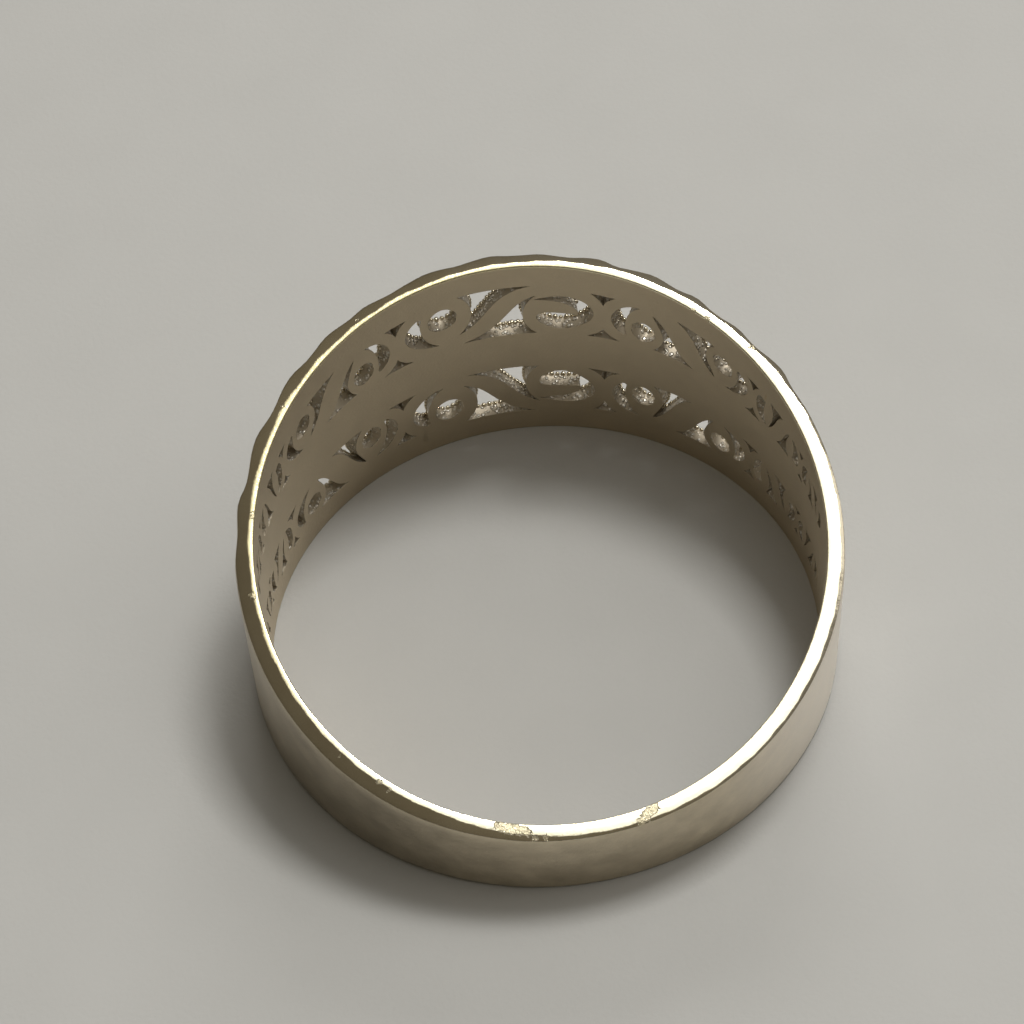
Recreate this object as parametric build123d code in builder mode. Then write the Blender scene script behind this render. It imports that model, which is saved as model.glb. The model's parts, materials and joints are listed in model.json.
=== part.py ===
"""Filigree openwork ring in cast silver, lying on its lower edge. Millimetres, +Z up.

The wide front of the band faces +Y and the narrow shank faces -Y. Both edges are flat cuts across
the tube of the band, so the ring rests on one of them with its finger hole leaning towards -Y.
Angles round the band are measured from the middle of the front, growing towards +X.
"""
import os
from collections import namedtuple
from math import atan, cos, degrees, radians, sin, tan

from build123d import *

# Finger hole and taper of the band
bore_diameter = 18.1
front_width = 10.7
back_width = 3.9

# Thickness of the wall outside the finger hole, piece by piece
openwork_wall = 0.44
centre_band_wall = 0.50
shank_wall = 0.58

# Edges: a narrow flat beside the finger hole, then a bevel that falls away outwards
edge_flat = 0.24
bevel_angle = 45.0

# Rails along both edges, and the plain band between the two rows of scrolls
rail_width = 1.18
centre_band_width = 2.1

# Scallops cut across the rails, which leave soft ridges between shallow hollows
ridge_wall = 0.64
hollow_wall = 0.47
ridge_angles = (-84, -72, -58.5, -45, -34, -24, -11, 1.5, 10.5, 22, 34, 43.5, 53.5, 65, 77)

# Scroll units of a row, each a stem that curls into a volute at both ends
# Rise is 1 where the stem climbs from its start to its end, and -1 where it falls
Unit = namedtuple("Unit", "start end rise")
units = (
    Unit(start=-85.0, end=-72.0, rise=1),
    Unit(start=-72.0, end=-56.0, rise=-1),
    Unit(start=-56.0, end=-20.5, rise=1),
    Unit(start=-20.5, end=24.0, rise=1),
    Unit(start=24.0, end=60.5, rise=-1),
    Unit(start=60.5, end=78.5, rise=1),
    Unit(start=78.5, end=93.0, rise=-1),
)
front_unit = units[3]
narrowest_with_eyes = 24.0

# How far a cutter runs past what it cuts
clear = 1.0

bore_radius = bore_diameter / 2
mean_half_width = (front_width + back_width) / 4
half_width_swing = (front_width - back_width) / 4
lean = degrees(atan(half_width_swing / bore_radius))
lean_sin = sin(radians(lean))
lean_cos = cos(radians(lean))

# The ring is centred over the origin, between the foot of its front and the top of its shank
front_reach = (bore_radius + ridge_wall) * lean_cos + front_width / 2 * lean_sin
back_reach = (bore_radius + shank_wall) * lean_cos + back_width / 2 * lean_sin
ring_middle = (0, (back_reach - front_reach) / 2, mean_half_width * lean_cos)
ring_plane = Plane(origin=ring_middle, x_dir=(1, 0, 0), z_dir=(0, -lean_sin, lean_cos))
side_plane = Plane(origin=ring_middle, x_dir=(0, lean_cos, lean_sin), z_dir=(1, 0, 0))


def round_the_band(radius, angle):
    """A point in the middle plane of the ring, from its radius and its angle."""
    return (radius * sin(radians(angle)), radius * cos(radians(angle)))


def half_width(angle):
    """Half the width of the band at an angle."""
    return mean_half_width + half_width_swing * cos(radians(angle))


def tube_stretch(inside, outside, height):
    """The stretch of plain tube round the finger hole that lies behind the scroll units."""
    start, end = units[0].start, units[-1].end
    middle = (start + end) / 2
    with BuildPart() as stretch:
        with BuildSketch(ring_plane):
            with BuildLine():
                inner = [round_the_band(inside, angle) for angle in (start, middle, end)]
                outer = [round_the_band(outside, angle) for angle in (start, middle, end)]
                ThreePointArc(*inner)
                Line(inner[-1], outer[-1])
                ThreePointArc(*outer)
                Line(outer[0], inner[0])
            make_face()
        extrude(amount=height / 2, both=True)
    return stretch.part


# Rails and shank: soft hollows between ridges across the front, and one arc round the back
wave = [round_the_band(bore_radius + ridge_wall, ridge_angles[0])]
for start, end in zip(ridge_angles, ridge_angles[1:]):
    wave.append(round_the_band(bore_radius + hollow_wall, (start + end) / 2))
    wave.append(round_the_band(bore_radius + ridge_wall, end))
with BuildPart() as rails_and_shank:
    with BuildSketch(ring_plane):
        with BuildLine():
            Spline(*wave)
            ThreePointArc(wave[-1], (0, -bore_radius - shank_wall), wave[0])
        make_face()
    extrude(amount=front_width / 2 + clear, both=True)

# Room between the rails, where the openwork lies: a wedge that follows the taper
wedge_ends = (-bore_radius / 2, bore_radius + ridge_wall + clear)
wedge_heights = [mean_half_width + half_width_swing * end / bore_radius - rail_width for end in wedge_ends]
with BuildPart() as between_rails:
    with BuildSketch(side_plane):
        Polygon(
            (wedge_ends[0], -wedge_heights[0]),
            (wedge_ends[1], -wedge_heights[1]),
            (wedge_ends[1], wedge_heights[1]),
            (wedge_ends[0], wedge_heights[0]),
            align=None,
        )
    extrude(amount=bore_radius + ridge_wall + clear, both=True)

with BuildPart() as openwork_room:
    add(tube_stretch(bore_radius + openwork_wall, bore_radius + ridge_wall + clear, front_width))
    add(between_rails.part, mode=Mode.INTERSECT)

with BuildPart() as openwork_tube:
    add(tube_stretch(bore_radius - clear, bore_radius + openwork_wall, front_width))
    add(between_rails.part, mode=Mode.INTERSECT)

# Trimmer for one edge: it leaves the flat beside the finger hole and the bevel round it
bevel_depth = (ridge_wall - edge_flat + clear) / tan(radians(bevel_angle))
upper_edge = Plane(
    origin=ring_plane.from_local_coords((0, 0, mean_half_width)),
    x_dir=(1, 0, 0),
    z_dir=(0, -2 * lean_sin * lean_cos, lean_cos**2 - lean_sin**2),
)
flat_radius = bore_radius + edge_flat
foot_radius = bore_radius + ridge_wall + clear
with BuildPart() as upper_trimmer:
    with BuildSketch(upper_edge.offset(-bevel_depth)):
        Circle(2 * bore_radius)
    extrude(amount=bevel_depth + front_width)
    with BuildSketch(upper_edge.offset(-bevel_depth)):
        with Locations((0, -bevel_depth * tan(radians(lean)))):
            Ellipse(foot_radius, foot_radius / lean_cos)
    with BuildSketch(upper_edge):
        Ellipse(flat_radius, flat_radius / lean_cos)
    loft(ruled=True, mode=Mode.SUBTRACT)

# Outlines of the gaps of a unit, as rows of corners and of the points that the next side bends through
# Each point is a share of half the unit's length and of half the row's height
Side = namedtuple("Side", "corner bends")
front_stem_gap = (
    Side(corner=(-0.37, 0.97), bends=()),
    Side(corner=(0.33, 0.97), bends=((0.10, 0.70), (-0.03, 0.36), (-0.17, -0.16))),
    Side(corner=(-0.37, -0.58), bends=((-0.27, -0.20), (-0.24, 0.25), (-0.29, 0.72))),
)
side_stem_gap = (
    Side(corner=(-0.40, 0.88), bends=()),
    Side(corner=(0.11, 0.93), bends=((-0.09, 0.48), (-0.18, 0.07), (-0.26, -0.28))),
    Side(corner=(-0.41, -0.66), bends=((-0.345, -0.30), (-0.29, 0.05), (-0.30, 0.50))),
)
crescent = (
    Side(corner=(-0.76, 0.62), bends=((-0.865, 0.39), (-0.906, 0.07), (-0.865, -0.30), (-0.753, -0.59))),
    Side(corner=(-0.564, -0.75), bends=((-0.663, -0.51), (-0.726, -0.16), (-0.748, 0.19))),
    Side(corner=(-0.73, 0.56), bends=()),
)
eye = (
    Side(corner=(-0.655, 0.20), bends=((-0.63, 0.52), (-0.53, 0.66), (-0.42, 0.52))),
    Side(corner=(-0.39, 0.20), bends=((-0.42, -0.04), (-0.53, -0.16), (-0.63, -0.04))),
)
wide_crescent = (
    Side(corner=(-0.74, 0.62), bends=((-0.855, 0.39), (-0.88, 0.07), (-0.855, -0.30), (-0.753, -0.56))),
    Side(corner=(-0.53, -0.72), bends=((-0.59, -0.45), (-0.62, -0.10), (-0.61, 0.25))),
    Side(corner=(-0.56, 0.52), bends=()),
)
open_curl = (
    Side(
        corner=(-0.35, -0.42),
        bends=((-0.51, -0.54), (-0.69, -0.57), (-0.82, -0.42), (-0.90, -0.13), (-0.89, 0.22), (-0.775, 0.57),
               (-0.60, 0.77), (-0.44, 0.62), (-0.37, 0.36)),
    ),
    Side(corner=(-0.39, 0.17), bends=((-0.55, 0.11), (-0.67, 0.13))),
    Side(corner=(-0.765, 0.15), bends=((-0.75, -0.05), (-0.66, -0.26), (-0.54, -0.36))),
)
head = (
    Side(corner=(-0.13, 0.85), bends=()),
    Side(corner=(0.13, 0.85), bends=((0.05, 0.66),)),
    Side(corner=(0.0, 0.42), bends=((-0.05, 0.66),)),
)
foot = (
    Side(corner=(-0.175, -0.97), bends=()),
    Side(corner=(0.175, -0.97), bends=((0.065, -0.80),)),
    Side(corner=(0.0, -0.56), bends=((-0.065, -0.80),)),
)


def half_length(unit):
    """Half the angle that a unit takes up."""
    return (unit.end - unit.start) / 2


def wall_plane(unit):
    """The plane outside the wall that faces the finger hole at the middle of a unit."""
    angle = (unit.start + unit.end) / 2
    origin = ring_plane.from_local_coords((*round_the_band(bore_radius + clear, angle), 0))
    inwards = ring_plane.from_local_coords((*round_the_band(-1, angle), 0)) - ring_plane.origin
    along = ring_plane.from_local_coords((*round_the_band(1, angle + 90), 0)) - ring_plane.origin
    return Plane(origin=origin, x_dir=along, z_dir=inwards)


def spot(unit, across, up):
    """A point of a unit on its wall plane, from its shares of the unit's length and height."""
    turn = unit.rise * across * half_length(unit)
    top = half_width((unit.start + unit.end) / 2 + turn) - rail_width
    bottom = centre_band_width / 2
    return (bore_radius * sin(radians(turn)), bottom + (up + 1) / 2 * (top - bottom))


def gap_face(unit, sides, turned=1):
    """The outline of one gap, turned half round about the unit's middle where turned is -1."""
    corners = [spot(unit, turned * side.corner[0], turned * side.corner[1]) for side in sides]
    with BuildSketch() as face:
        with BuildLine():
            for side, start, end in zip(sides, corners, corners[1:] + corners[:1]):
                bends = [spot(unit, turned * across, turned * up) for across, up in side.bends]
                if bends:
                    Spline(start, *bends, end)
                else:
                    Line(start, end)
        make_face()
    return face.sketch


with BuildPart() as upper_row_gaps:
    for unit in units:
        stem_gap = front_stem_gap if unit == front_unit else side_stem_gap
        gaps = [gap_face(unit, stem_gap), gap_face(unit, stem_gap, turned=-1)]
        if unit == front_unit:
            gaps += [gap_face(unit, crescent), gap_face(unit, eye), gap_face(unit, open_curl, turned=-1)]
        elif 2 * half_length(unit) >= narrowest_with_eyes:
            gaps += [gap_face(unit, shape, turned) for shape in (crescent, eye) for turned in (1, -1)]
        else:
            gaps += [gap_face(unit, wide_crescent, turned) for turned in (1, -1)]
        with BuildSketch(wall_plane(unit)):
            for gap in gaps:
                add(gap)
        extrude(amount=bore_radius / 2)
    for before, after in zip(units, units[1:]):
        reach = (half_length(before) + half_length(after)) / 2
        meeting = Unit(start=before.end - reach, end=before.end + reach, rise=1)
        with BuildSketch(wall_plane(meeting)):
            for shape in (head, foot):
                add(gap_face(meeting, shape))
        extrude(amount=bore_radius / 2)

# The whole ring is one casting
with BuildPart() as ring_band:
    add(rails_and_shank.part)
    add(openwork_room.part, mode=Mode.SUBTRACT)
    add(openwork_tube.part)
    add(tube_stretch(bore_radius - clear, bore_radius + centre_band_wall, centre_band_width))
    with BuildSketch(ring_plane):
        Circle(bore_radius)
    extrude(amount=front_width, both=True, mode=Mode.SUBTRACT)
    add(upper_trimmer.part, mode=Mode.SUBTRACT)
    add(upper_trimmer.part.mirror(ring_plane), mode=Mode.SUBTRACT)
    add(upper_row_gaps.part, mode=Mode.SUBTRACT)
    add(upper_row_gaps.part.mirror(ring_plane), mode=Mode.SUBTRACT)

os.makedirs("parts", exist_ok=True)
ring_band.part.label = "ring_band"
export_step(ring_band.part, "parts/ring_band.step")
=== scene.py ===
"""The filigree openwork ring, dressed for its photograph. Blender 4.5, metres, +Z up."""

import json
from collections import namedtuple
from math import atan2, cos, degrees, hypot, pi, radians, sin

import bmesh
import bpy
from mathutils import Euler, Matrix, Vector


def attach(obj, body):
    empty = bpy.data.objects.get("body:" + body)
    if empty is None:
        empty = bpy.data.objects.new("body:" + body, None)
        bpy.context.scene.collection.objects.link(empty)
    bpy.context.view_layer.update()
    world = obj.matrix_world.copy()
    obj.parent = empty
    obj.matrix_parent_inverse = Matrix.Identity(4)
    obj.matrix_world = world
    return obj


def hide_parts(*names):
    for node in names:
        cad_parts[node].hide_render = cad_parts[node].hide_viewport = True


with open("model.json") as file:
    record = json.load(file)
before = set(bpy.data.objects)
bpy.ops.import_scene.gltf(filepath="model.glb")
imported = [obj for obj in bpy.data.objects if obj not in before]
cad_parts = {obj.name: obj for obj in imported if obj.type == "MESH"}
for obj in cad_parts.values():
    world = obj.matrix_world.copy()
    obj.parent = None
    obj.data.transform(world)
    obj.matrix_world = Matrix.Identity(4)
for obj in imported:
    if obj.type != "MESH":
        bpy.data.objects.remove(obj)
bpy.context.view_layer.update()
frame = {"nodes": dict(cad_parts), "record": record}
mm = 0.001

# The band
# One silver casting, pierced, filed and polished: mirror-bright on its edges, satin in the finger hole.
# It is the CAD solid's own shape, cut finer round the hole so that its curves take reflections smoothly.
finger_hole = next(mount for mount in frame["record"]["mounts"] if mount["name"] == "finger_hole")
hole_middle = Vector(finger_hole["pos_m"])
hole_axis = Vector(finger_hole["axis"]).normalized()
bore_radius = finger_hole["dims"]["r_mm"] * mm
lean_tan = -hole_axis.y / hole_axis.z
lean_cos = hole_axis.z
mean_half_width = 3.65 * mm
ring_turn = Matrix(((1, 0, 0), hole_axis.cross(Vector((1, 0, 0))), hole_axis)).transposed()
slices = 240
openwork_wall = 0.44 * mm
least_rim_wall = openwork_wall + 0.02 * mm
shank_angles = (-85.3, 93.3)  # the shank runs outside these two angles, in degrees from the front
crease = radians(32)

# The rims: rows across one run from the finger hole (-2) over the flat (0 to 1) and the bevel (1 to 2)
# to the outer wall (3)
rim_rows = (-2, -1.3, -1, -0.67, -0.33, 0, 0.5, 1, 1.12, 1.25, 1.4, 1.6, 1.75, 1.88, 2, 2.4, 3)
rim_depth = 0.75 * mm
rail_depth = 1.17 * mm
edge_rounding = 0.05 * mm
bevel_squareness = 1.8
bevel_fall = 0.55
shoulder = 0.03 * mm
filing = 0.024 * mm  # how far the outer border of the flat wavers

# Scallops of the rims: angle round the band from its front, wall outside the hole, and flat beside it
Scallop = namedtuple("Scallop", "angle wall flat")
scallops = [
    Scallop(*row) for row in (
        (-150, 0.56, 0.22), (-140, 0.58, 0.19), (-125, 0.60, 0.18), (-100, 0.62, 0.18), (-84, 0.63, 0.17),
        (-78, 0.55, 0.20), (-72, 0.63, 0.18), (-67.5, 0.47, 0.22), (-58.5, 0.635, 0.17), (-53, 0.48, 0.22),
        (-45, 0.63, 0.16), (-40, 0.50, 0.17), (-34, 0.62, 0.14), (-29, 0.51, 0.15), (-25, 0.58, 0.13),
        (-20, 0.46, 0.15), (-11, 0.61, 0.13), (-5.5, 0.51, 0.15), (1.5, 0.62, 0.16), (6, 0.53, 0.17),
        (11, 0.55, 0.18), (16, 0.45, 0.23), (22.5, 0.59, 0.20), (26.5, 0.42, 0.26), (34, 0.57, 0.22),
        (39, 0.44, 0.25), (43, 0.53, 0.24), (48, 0.38, 0.27), (53.5, 0.49, 0.27), (57, 0.42, 0.29),
        (65, 0.60, 0.36), (69, 0.50, 0.38), (76, 0.54, 0.42), (95, 0.58, 0.45), (110, 0.59, 0.45),
        (150, 0.55, 0.44), (180, 0.52, 0.40), (200, 0.54, 0.31), (210, 0.56, 0.22),
    )
]


def in_ring(point):
    """A point in the ring's own frame, whose Z is the axis of the finger hole."""
    return ring_turn.transposed() @ (point - hole_middle)


def from_ring(reach, angle, height):
    """The point at a distance from the hole's axis, at an angle from the front, and a height along it."""
    return hole_middle + ring_turn @ Vector((reach * sin(angle), reach * cos(angle), height))


def below_edge(place):
    """How far a place in the ring's own frame lies from the nearer edge plane of the band."""
    return (mean_half_width + place.y * lean_tan - abs(place.z)) * lean_cos


def rim_at(angle):
    """The wall and the flat of a rim at an angle, eased from one scallop's ridge or hollow to the next."""
    angle = (degrees(angle) + 150) % 360 - 150
    for before, after in zip(scallops, scallops[1:]):
        if before.angle <= angle <= after.angle:
            share = (1 - cos(pi * (angle - before.angle) / (after.angle - before.angle))) / 2
            wall = before.wall + share * (after.wall - before.wall)
            flat = before.flat + share * (after.flat - before.flat)
            waver = filing * sin(radians(57 * angle)) * sin(radians(22 * angle) + 1)
            return wall * mm, flat * mm + waver


def rim_place(row, angle):
    """How far outside the hole, and how far down from the edge, a row of the rim lies at an angle."""
    wall, flat = rim_at(angle)
    if row < -1:
        return 0, edge_rounding - (row + 1) * 0.4 * mm
    if row < 0:
        return edge_rounding * (1 + sin(row * pi / 2)), edge_rounding * (1 - cos(row * pi / 2))
    if row <= 1:
        return edge_rounding + row * (flat - edge_rounding), 0
    fall = bevel_fall * (wall - shoulder - flat)
    if row <= 2:
        across = (-cos(row * pi / 2)) ** bevel_squareness
        down = 1 - max(0, sin(row * pi / 2)) ** bevel_squareness
        return flat + (wall - shoulder - flat) * across, fall * down
    outer = wall - shoulder * (3 - row) ** 2
    return outer + (row - 2) * (max(wall, least_rim_wall) - wall), fall + (row - 2) * 0.2 * mm


def rim_kind(row):
    """Which surface a face of the rim belongs to, by its mean row."""
    return "bore" if row < -1 else "flat" if row < 1 else "bevel" if row < 2 else "outside"


def face_kind(face):
    """Which surface of the casting a face of the solid belongs to."""
    middle = in_ring(face.calc_center_median())
    normal = ring_turn.transposed() @ face.normal
    outwards = (normal.x * middle.x + normal.y * middle.y) / hypot(middle.x, middle.y)
    return "bore" if outwards < -0.98 else "outside" if outwards > 0.75 else "gap"


kinds = ("bore", "flat", "bevel", "outside", "gap")
band = bmesh.new()
band.from_mesh(frame["nodes"]["ring_band"].data)
bmesh.ops.remove_doubles(band, verts=band.verts, dist=1e-4 * mm)
band.normal_update()
kind_of = band.faces.layers.int.new("kind")
for face in band.faces:
    face[kind_of] = kinds.index(face_kind(face))
true_radius = band.verts.layers.float.new("true_radius")
row_of = band.verts.layers.float.new("row")
for vert in band.verts:
    place = in_ring(vert.co)
    vert[true_radius] = hypot(place.x, place.y) / mm
    vert[row_of] = -9

# The solid's two rims are cut away, and cuts across the rest make its curves finer
for side in (1, -1):
    upright = ring_turn @ Vector((0, -lean_tan * lean_cos, lean_cos * side))
    bmesh.ops.bisect_plane(
        band, geom=band.verts[:] + band.edges[:] + band.faces[:], dist=1e-5 * mm, clear_outer=True,
        plane_co=hole_middle + upright * (mean_half_width * lean_cos - rim_depth), plane_no=upright,
    )
for step in range(slices // 2):
    turn = 2 * pi * step / slices
    bmesh.ops.bisect_plane(
        band, geom=band.verts[:] + band.edges[:] + band.faces[:], dist=1e-5 * mm, plane_co=hole_middle,
        plane_no=ring_turn @ Vector((cos(turn), -sin(turn), 0)),
    )
for vert in band.verts:
    place = in_ring(vert.co)
    reach = vert[true_radius] * mm
    angle = atan2(place.x, place.y)
    in_shank = not shank_angles[0] < degrees(angle) < shank_angles[1]
    if (in_shank or below_edge(place) < rail_depth) and reach > bore_radius + openwork_wall + 0.01 * mm:
        reach = bore_radius + max(rim_at(angle)[0], least_rim_wall)
    vert.co = from_ring(reach, angle, place.z)

# The plain outer wall of the shank keeps one face between each two cuts
strips = {}
for face in band.faces:
    place = in_ring(face.calc_center_median())
    angle = degrees(atan2(place.x, place.y))
    if face[kind_of] == kinds.index("outside") and not -86 < angle < 94:
        strips.setdefault(int(angle % 360 / 360 * slices), []).append(face)
for faces in strips.values():
    bmesh.ops.dissolve_faces(band, faces=[face for face in faces if face.is_valid], use_verts=True)


def edge_loop(side, inside):
    """The edges of the open loop that the cut left on one side, in the hole's wall or in the outer wall."""
    half = bore_radius + openwork_wall / 2
    found = []
    for edge in band.edges:
        place = in_ring(edge.verts[0].co)
        if edge.is_boundary and place.z * side > 0 and (hypot(place.x, place.y) < half) == inside:
            found.append(edge)
    return found


# Each loop gets one vertex at each cut
for side in (1, -1):
    for inside in (True, False):
        kept = {}
        welds = {}
        for vert in {vert for edge in edge_loop(side, inside) for vert in edge.verts}:
            place = in_ring(vert.co)
            turn = atan2(place.x, place.y) / (2 * pi) * slices
            kept.setdefault(round(turn) % slices, []).append((abs(turn - round(turn)), vert.index, vert))
        for near in kept.values():
            near.sort(key=lambda found: found[:2])
            welds.update({vert: near[0][2] for offset, index, vert in near[1:]})
        bmesh.ops.weld_verts(band, targetmap=welds)

# Each rim is a profile spun round the hole, then shaped to its scallops and joined to the rest
for side in (1, -1):
    loops = {inside: edge_loop(side, inside) for inside in (True, False)}
    profile = []
    for row in rim_rows:
        beyond, drop = rim_place(row, 0)
        height = (mean_half_width + (bore_radius + beyond) * lean_tan - drop) * side
        vert = band.verts.new(from_ring(bore_radius + beyond, 0, height))
        vert[row_of] = row
        profile.append(vert)
    strip = [band.edges.new(pair) for pair in zip(profile, profile[1:])]
    bmesh.ops.spin(
        band, geom=profile + strip, cent=hole_middle, axis=hole_axis, angle=2 * pi, steps=slices,
        use_merge=True,
    )
    rim = [vert for vert in band.verts if vert[row_of] > -5 and in_ring(vert.co).z * side > 0]
    for vert in rim:
        place = in_ring(vert.co)
        angle = atan2(place.x, place.y)
        beyond, drop = rim_place(vert[row_of], angle)
        reach = bore_radius + beyond
        vert.co = from_ring(reach, angle, (mean_half_width + reach * cos(angle) * lean_tan - drop) * side)
    for face in {face for vert in rim for face in vert.link_faces}:
        face[kind_of] = kinds.index(rim_kind(sum(vert[row_of] for vert in face.verts) / len(face.verts)))
    for row, inside in ((rim_rows[0], True), (rim_rows[-1], False)):
        above = {edge for vert in rim if vert[row_of] == row for edge in vert.link_edges if edge.is_boundary}
        joined = bmesh.ops.bridge_loops(band, edges=loops[inside] + list(above))
        for face in joined["faces"]:
            face[kind_of] = kinds.index("bore" if inside else "outside")
bmesh.ops.recalc_face_normals(band, faces=band.faces[:])


def edges_between(one, other):
    """The edges where two kinds of surface meet."""
    wanted = {kinds.index(one), kinds.index(other)}
    return [
        edge for edge in band.edges
        if len(edge.link_faces) == 2 and {face[kind_of] for face in edge.link_faces} == wanted
    ]


for face in band.faces:
    face.smooth = True
    face.material_index = face[kind_of]
for edge in band.edges:
    if len(edge.link_faces) == 2:
        edge.smooth = edge.calc_face_angle(0) < crease

band_mesh = bpy.data.meshes.new("openwork_band")
band.to_mesh(band_mesh)
openwork_band = bpy.data.objects.new("openwork_band", band_mesh)
bpy.context.scene.collection.objects.link(openwork_band)
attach(openwork_band, "root")
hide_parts("ring_band")


class Wire:
    """A shader socket that takes part in sums, so that a finish is written as an expression."""

    def __init__(self, socket):
        self.socket = socket
        self.tree = socket.id_data

    def node(self, kind, settings=None, **inputs):
        """Any other node of the same finish, from its settings and its sockets' values or links."""
        made = self.tree.nodes.new(kind)
        for name, value in (settings or {}).items():
            setattr(made, name, value)
        for name, value in inputs.items():
            socket = made.inputs[int(name[1:]) if name[1:].isdigit() else name]
            if isinstance(value, Wire):
                self.tree.links.new(value.socket, socket)
            else:
                socket.default_value = value
        return made

    def sum(self, operation, first, second):
        """The wire of one step of arithmetic."""
        return Wire(self.node("ShaderNodeMath", {"operation": operation}, i0=first, i1=second).outputs[0])

    def __add__(self, other):
        return self.sum("ADD", self, other)

    def __rsub__(self, other):
        return self.sum("SUBTRACT", other, self)

    def __mul__(self, other):
        return self.sum("MULTIPLY", self, other)

    __radd__ = __add__
    __rmul__ = __mul__


def eased(value, start, end):
    """A mask that eases from 0 to 1 while a wire's value goes from one number to another."""
    made = value.node("ShaderNodeMapRange", {"interpolation_type": "SMOOTHSTEP"}, i0=value, i1=start, i2=end)
    return Wire(made.outputs[0])


def noise(where, scale, detail, roughness=0.6, output="Fac"):
    """Noise over a surface."""
    made = where.node("ShaderNodeTexNoise", Vector=where, Scale=scale, Detail=detail, Roughness=roughness)
    return Wire(made.outputs[output])


def blend(share, first, second):
    """A colour between two others."""
    return Wire(share.node("ShaderNodeMix", {"data_type": "RGBA"}, i0=share, i6=first, i7=second).outputs[2])


def vectors(operation, first, *others, output=0):
    """One step of arithmetic on vectors."""
    inputs = {f"i{number}": other for number, other in enumerate(others, 1)}
    made = first.node("ShaderNodeVectorMath", {"operation": operation}, i0=first, **inputs)
    return Wire(made.outputs[output])


def place_on(finish):
    """The wire of a finish's object coordinates."""
    return Wire(finish.node_tree.nodes.new("ShaderNodeTexCoord").outputs["Object"])


def shader_of(finish):
    """A finish's Principled BSDF."""
    return finish.node_tree.nodes["Principled BSDF"]


def wired(finish, socket):
    """The wire that a socket of a finish's shader is linked to."""
    return Wire(shader_of(finish).inputs[socket].links[0].from_socket)


def wire_to(finish, socket, wire):
    """A new link to a socket of a finish's shader."""
    finish.node_tree.links.new(wire.socket, shader_of(finish).inputs[socket])


def new_finish(name):
    """A material with a Principled BSDF."""
    finish = bpy.data.materials.new(name)
    finish.use_nodes = True
    return finish


edge_softness = 0.03 * mm


def silver(name, dark, light, rough_low, rough_high, grain, grain_depth, patch=900.0):
    """Silver whose colour and gloss drift over its surface, with a grain of its own in the normals."""
    finish = new_finish(name)
    where = place_on(finish)
    drift = noise(where, patch, 4.0)
    soft = Wire(where.node("ShaderNodeBevel", {"samples": 4}, Radius=edge_softness).outputs["Normal"])
    bump = where.node(
        "ShaderNodeBump", Strength=1.0, Distance=grain_depth, Height=noise(where, grain, 3.0), Normal=soft
    )
    wire_to(finish, "Base Color", blend(drift, (*dark, 1), (*light, 1)))
    wire_to(finish, "Roughness", rough_low + drift * (rough_high - rough_low))
    wire_to(finish, "Normal", Wire(bump.outputs["Normal"]))
    shader_of(finish).inputs["Metallic"].default_value = 1.0
    return finish


finishes = {
    "bore": silver(
        "satin_finger_hole", (0.54, 0.455, 0.325), (0.65, 0.555, 0.405), 0.40, 0.50, 8000.0, 0.014 * mm
    ),
    "flat": silver("mirror_edge", (0.90, 0.84, 0.62), (0.99, 0.95, 0.76), 0.14, 0.26, 6000.0, 0.008 * mm),
    "bevel": silver("polished_bevel", (0.70, 0.62, 0.46), (0.90, 0.83, 0.66), 0.16, 0.26, 6000.0, 0.008 * mm),
    "outside": silver(
        "worn_outside", (0.44, 0.375, 0.265), (0.85, 0.75, 0.58), 0.26, 0.46, 7000.0, 0.020 * mm, patch=1100.0
    ),
    "gap": silver("cast_gap_wall", (0.70, 0.62, 0.48), (0.90, 0.84, 0.70), 0.14, 0.24, 16000.0, 0.004 * mm),
}
for kind in kinds:
    band_mesh.materials.append(finishes[kind])


def painted_light_towards_side(kind, direction, start, end, most, colour):
    """Painted light or shade: a finish takes another colour towards one side of the ring, eased in between two
    distances.
    """
    where = place_on(finishes[kind])
    share = eased(vectors("DOT_PRODUCT", where, direction, output=1), start, end) * most
    wire_to(finishes[kind], "Base Color", blend(share, wired(finishes[kind], "Base Color"), colour))


# Painted shade and painted light, fitted so that the render's brightness comes nearer the photograph's: the
# bevel and the outer wall are painted darker towards the left, where they mirror the dark room and shadowed
# paper, and the wall is painted lighter at the right, where it catches the light. Under other lights these
# painted tints may look wrong. The photograph can't tell whether the silver differs there or only the light on
# it, so under other lights these tints may look wrong.
painted_shade_tint = (0.02, 0.016, 0.012, 1)
painted_light_towards_side("bevel", (-0.95, -0.30, 0), 5.0 * mm, 9.3 * mm, 0.26, painted_shade_tint)
painted_light_towards_side("outside", (-0.95, -0.30, 0), 5.0 * mm, 9.3 * mm, 0.34, painted_shade_tint)
painted_light_towards_side("outside", (0.93, -0.37, 0), 6.5 * mm, 10.0 * mm, 0.75, (0.97, 0.91, 0.83, 1))

# Painted shade of the same kind: the flats are painted darker and yellower towards the left and the front,
# where their reflection looks dimmer and warmer
painted_light_towards_side("flat", (-0.75, 0.66, 0), -1.0 * mm, 6.5 * mm, 0.85, (0.66, 0.58, 0.34, 1))

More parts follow.
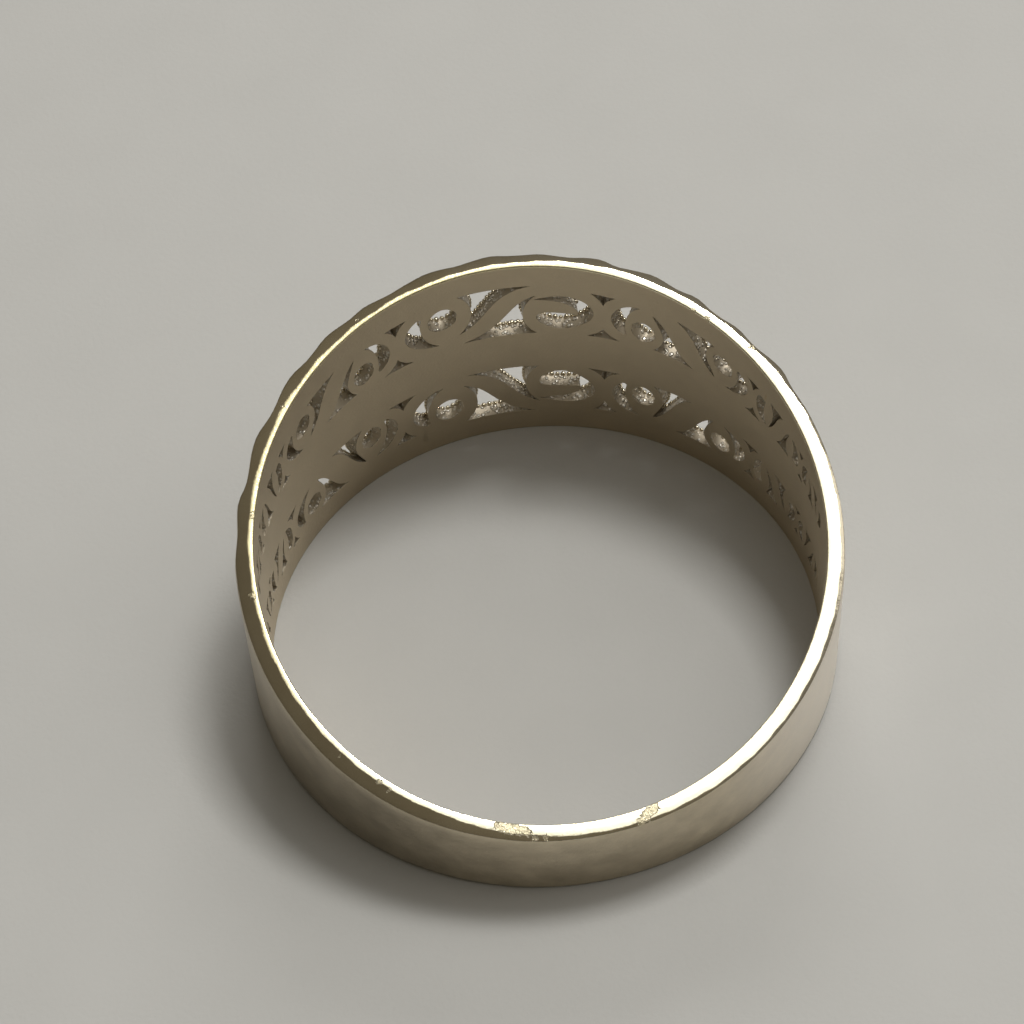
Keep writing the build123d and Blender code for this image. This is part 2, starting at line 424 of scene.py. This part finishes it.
# Knocks on the upper rim: angle round the band, distance outside the hole, and size
Knock = namedtuple("Knock", "angle beyond size")
knocks = [
    Knock(*row) for row in (
        (168.4, 0.10, 0.20), (169.8, 0.20, 0.22), (170.8, 0.30, 0.22), (172.0, 0.40, 0.18),
        (190.3, 0.38, 0.10), (192.3, 0.44, 0.15), (194.0, 0.22, 0.20), (195.6, 0.19, 0.23),
        (197.2, 0.18, 0.24), (199.0, 0.16, 0.22), (221.5, 0.22, 0.11), (224.0, 0.20, 0.12),
        (233.0, 0.34, 0.08), (-90.6, 0.18, 0.13), (-74.3, 0.03, 0.14), (-51.0, 0.20, 0.08),
        (-28.0, 0.24, 0.08), (44.0, 0.02, 0.12), (47.5, 0.03, 0.14), (58.0, 0.30, 0.12),
    )
]
stray = 0.36 * mm  # how far the outline of a knock wanders
knock_depth = 0.05 * mm
for kind in ("flat", "bevel"):
    finish = finishes[kind]
    where = place_on(finish)
    strayed = vectors("MULTIPLY_ADD", noise(where, 5200.0, 3.0, 0.65, "Color"), (stray,) * 3, where)
    worn = 0.0
    for knock in knocks:
        turn = radians(knock.angle)
        out = bore_radius + knock.beyond * mm
        centre = from_ring(out, turn, mean_half_width + out * cos(turn) * lean_tan) + Vector((stray / 2,) * 3)
        away = vectors("DISTANCE", strayed, centre, output=1)
        worn = worn + eased(away, knock.size * mm, knock.size * 0.55 * mm)
    ragged = noise(where, 9000.0, 3.0, 0.7)
    pit = eased(worn * (0.35 + ragged), 0.25, 0.75)
    chafed = blend(pit * (0.4 + 0.8 * ragged), wired(finish, "Base Color"), (0.76, 0.68, 0.47, 1))
    dented = where.node(
        "ShaderNodeBump", Strength=1.0, Distance=-knock_depth, Height=pit * (0.5 + ragged),
        Normal=wired(finish, "Normal"),
    )
    wire_to(finish, "Base Color", chafed)
    wire_to(finish, "Roughness", wired(finish, "Roughness") + pit * 0.2)
    wire_to(finish, "Normal", Wire(dented.outputs["Normal"]))

# The gap walls are left as cast, with a grain whose crests are painted bright as glints, most near the finger
# hole where the walls catch the light; the rest of each wall keeps a darker painted-shade colour
finish = finishes["gap"]
where = place_on(finish)
cells = Wire(where.node("ShaderNodeTexVoronoi", Vector=where, Scale=6800.0).outputs["Distance"])
crest = eased(cells, 0.56, 0.18)
sideways = vectors("CROSS_PRODUCT", vectors("SUBTRACT", where, hole_middle), hole_axis)
reach = vectors("LENGTH", sideways, output=1)
inner = eased(reach, bore_radius + 0.22 * mm, bore_radius + 0.10 * mm)
rolled = eased(reach, bore_radius + 0.02 * mm, bore_radius + 0.05 * mm)
grains = where.node("ShaderNodeBump", Strength=1.0, Distance=0.055 * mm, Height=crest)
painted_glints = blend(crest * rolled * (0.50 + 0.50 * inner), (0.49, 0.43, 0.335, 1), (0.98, 0.95, 0.87, 1))
wire_to(finish, "Base Color", painted_glints)
wire_to(finish, "Roughness", 0.50 - 0.34 * crest)
wire_to(finish, "Normal", Wire(grains.outputs["Normal"]))
shader_of(finish).inputs["Metallic"].default_value = 0.38

# Beaded edges of the scrolls
# Rows of small silver grains that edge the scrolls on the ring's outer face and peep into the gaps.
# They run side by side along the outline of each gap, and along the low steps beside the scrollwork.
bead_pitch = 0.20 * mm
bead_radius = 0.10 * mm
least_bead = 0.70
rows = band.copy()
band.edges.index_update()
keep = {
    edge.index for edge in edges_between("outside", "gap")
    if hypot(*in_ring(edge.verts[0].co).xy) < bore_radius + openwork_wall + 0.06 * mm
}
rows.edges.ensure_lookup_table()
gone = [edge for edge in rows.edges if edge.index not in keep]
bmesh.ops.delete(rows, geom=rows.faces[:], context="FACES_ONLY")
bmesh.ops.delete(rows, geom=[edge for edge in gone if edge.is_valid], context="EDGES")
row_mesh = bpy.data.meshes.new("beaded_edges")
rows.to_mesh(row_mesh)
beaded_edges = bpy.data.objects.new("beaded_edges", row_mesh)
bpy.context.scene.collection.objects.link(beaded_edges)

beading = bpy.data.node_groups.new("beading", "GeometryNodeTree")
beading.interface.new_socket("Geometry", in_out="INPUT", socket_type="NodeSocketGeometry")
beading.interface.new_socket("Geometry", in_out="OUTPUT", socket_type="NodeSocketGeometry")
start = beading.nodes.new("NodeGroupInput")
to_curve = beading.nodes.new("GeometryNodeMeshToCurve")
spaced = beading.nodes.new("GeometryNodeResampleCurve")
spaced.mode = "LENGTH"
spaced.inputs["Length"].default_value = bead_pitch
bead = beading.nodes.new("GeometryNodeMeshUVSphere")
bead.inputs["Radius"].default_value = bead_radius
bead.inputs["Segments"].default_value = 8
bead.inputs["Rings"].default_value = 5
uneven = beading.nodes.new("FunctionNodeRandomValue")
uneven.data_type = "FLOAT"
uneven.inputs[2].default_value = least_bead
uneven.inputs[3].default_value = 1.0
uneven.inputs["Seed"].default_value = 5
placed = beading.nodes.new("GeometryNodeInstanceOnPoints")
solid = beading.nodes.new("GeometryNodeRealizeInstances")
shaded = beading.nodes.new("GeometryNodeSetShadeSmooth")
end = beading.nodes.new("NodeGroupOutput")
for source, target in (
    (start.outputs[0], to_curve.inputs["Mesh"]),
    (to_curve.outputs["Curve"], spaced.inputs["Curve"]),
    (spaced.outputs["Curve"], placed.inputs["Points"]),
    (bead.outputs["Mesh"], placed.inputs["Instance"]),
    (uneven.outputs[1], placed.inputs["Scale"]),
    (placed.outputs["Instances"], solid.inputs["Geometry"]),
    (solid.outputs["Geometry"], shaded.inputs["Geometry"]),
    (shaded.outputs["Geometry"], end.inputs[0]),
):
    beading.links.new(source, target)
strung = beaded_edges.modifiers.new("beading", "NODES")
strung.node_group = beading
bpy.context.view_layer.update()
beaded = bpy.data.meshes.new_from_object(beaded_edges.evaluated_get(bpy.context.evaluated_depsgraph_get()))
beaded_edges.modifiers.clear()
beaded_edges.data = beaded
beaded.materials.clear()
beaded.materials.append(
    silver("bead_silver", (0.52, 0.46, 0.35), (0.80, 0.73, 0.58), 0.22, 0.32, 9000.0, 0.004 * mm)
)
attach(beaded_edges, "root")

# Paper floor
# A sheet of pale grey paper that the ring lies on, with the faint tooth and cloudiness of real paper.
# It only sets the scene and isn't part of the ring.
floor_mesh = bpy.data.meshes.new("paper_floor")
sheet = bmesh.new()
bmesh.ops.create_grid(sheet, x_segments=1, y_segments=1, size=0.6)
sheet.to_mesh(floor_mesh)
paper_floor = bpy.data.objects.new("paper_floor", floor_mesh)
bpy.context.scene.collection.objects.link(paper_floor)
paper = new_finish("pale_paper")
where = place_on(paper)
clouds = noise(where, 260.0, 3.0, 0.5)
tooth = noise(where, 5200.0, 4.0, 0.5)
bump = where.node("ShaderNodeBump", Strength=0.6, Distance=0.02 * mm, Height=tooth)
paper_tone = blend(clouds * 0.7 + tooth * 0.3, (0.43, 0.429, 0.417, 1), (0.47, 0.469, 0.457, 1))
wire_to(paper, "Base Color", paper_tone)
wire_to(paper, "Normal", Wire(bump.outputs["Normal"]))
shader_of(paper).inputs["Roughness"].default_value = 0.85
floor_mesh.materials.append(paper)


# Soft studio light
# A window and a broad ceiling light above and to the right, a lamp behind the ring that the silver doesn't
# mirror, a weak one at the right, and a dim warm room round the table that is brighter on the right.
# Their powers were fitted to the photograph's brightness on the paper and the ring.
def soft_light(name, place, size, power, colour):
    """A square lamp that faces the ring."""
    lamp = bpy.data.lights.new(name, "AREA")
    lamp.shape = "SQUARE"
    lamp.size = size
    lamp.energy = power
    lamp.color = colour
    light = bpy.data.objects.new(name, lamp)
    light.location = place
    light.rotation_euler = (-Vector(place)).to_track_quat("-Z", "Y").to_euler()
    bpy.context.scene.collection.objects.link(light)
    return light


soft_light("window", (0.108, 0.040, 0.404), 0.10, 0.85, (1.0, 0.99, 0.96))
soft_light("ceiling", (0.105, -0.030, 0.405), 0.40, 0.60, (1.0, 0.985, 0.94))
soft_light("far_side", (0.094, 0.351, 0.21), 0.20, 0.54, (1.0, 0.98, 0.95)).visible_glossy = False
soft_light("right", (0.364, 0.0, 0.21), 0.18, 0.10, (1.0, 0.98, 0.95))

room = bpy.data.worlds.new("room")
bpy.context.scene.world = room
room.use_nodes = True
facing = Wire(room.node_tree.nodes.new("ShaderNodeTexCoord").outputs["Generated"])
rightwards = vectors("DOT_PRODUCT", facing, (0.98, 0.2, 0), output=1)
upwards = Wire(facing.node("ShaderNodeSeparateXYZ", i0=facing).outputs["Z"])
dim = blend(eased(upwards, -0.10, 0.55), (0.035, 0.030, 0.023, 1), (0.15, 0.131, 0.096, 1))
glow = blend(eased(rightwards, 0.0, 0.6), dim, (0.16, 0.15, 0.135, 1))
background = room.node_tree.nodes["Background"]
room.node_tree.links.new(glow.socket, background.inputs["Color"])
background.inputs["Strength"].default_value = 1.0

# Camera
# It looks down at the ring from behind the narrow shank, where the photograph was taken.
camera = bpy.data.cameras.new("camera")
camera.sensor_width = 36.0
camera.lens = 145.238
camera.clip_start = 0.01
camera.clip_end = 10.0
photographer = bpy.data.objects.new("camera", camera)
photographer.location = (-8.8314 * mm, -80.7903 * mm, 109.9831 * mm)
photographer.rotation_euler = Euler((radians(38.2541), radians(3.6293), radians(-10.3364)), "XYZ")
bpy.context.scene.collection.objects.link(photographer)
bpy.context.scene.camera = photographer
bpy.context.scene.view_settings.view_transform = "Standard"
